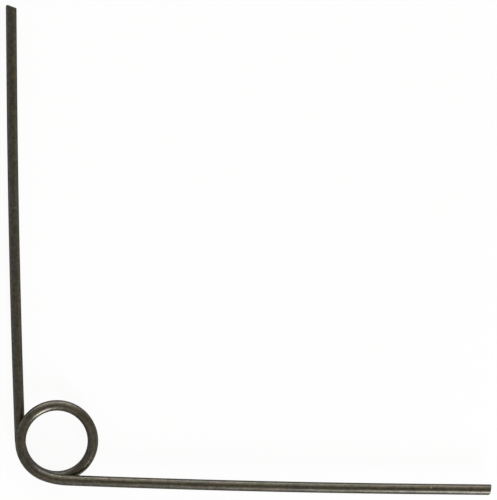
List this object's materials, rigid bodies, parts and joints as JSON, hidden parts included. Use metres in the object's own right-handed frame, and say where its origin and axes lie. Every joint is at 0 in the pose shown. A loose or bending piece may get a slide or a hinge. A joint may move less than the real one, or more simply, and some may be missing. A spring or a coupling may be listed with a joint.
{
  "type": "torsion spring",
  "caption": "Wire torsion spring: a short open coil that goes over a pivot, with long straight legs leaving it at about a right angle to push a lever back.",
  "frame": {"origin": "on the coil's axis, level with the underside of the lower leg, which the spring lies on", "axes": "+Z along the coil's axis, towards the end that the upper leg leaves; +Y along the lower leg and +X along the upper leg, each within about 3 degrees"},
  "size_m": [0.0574, 0.0574, 0.0029],
  "materials": {
    "spring_wire": "dark oil-tempered drawn wire, satin, with fine lines along it"
  },
  "bodies": {
    "root": {"spring_wire": "spring_wire"}
  },
  "joints": []
}
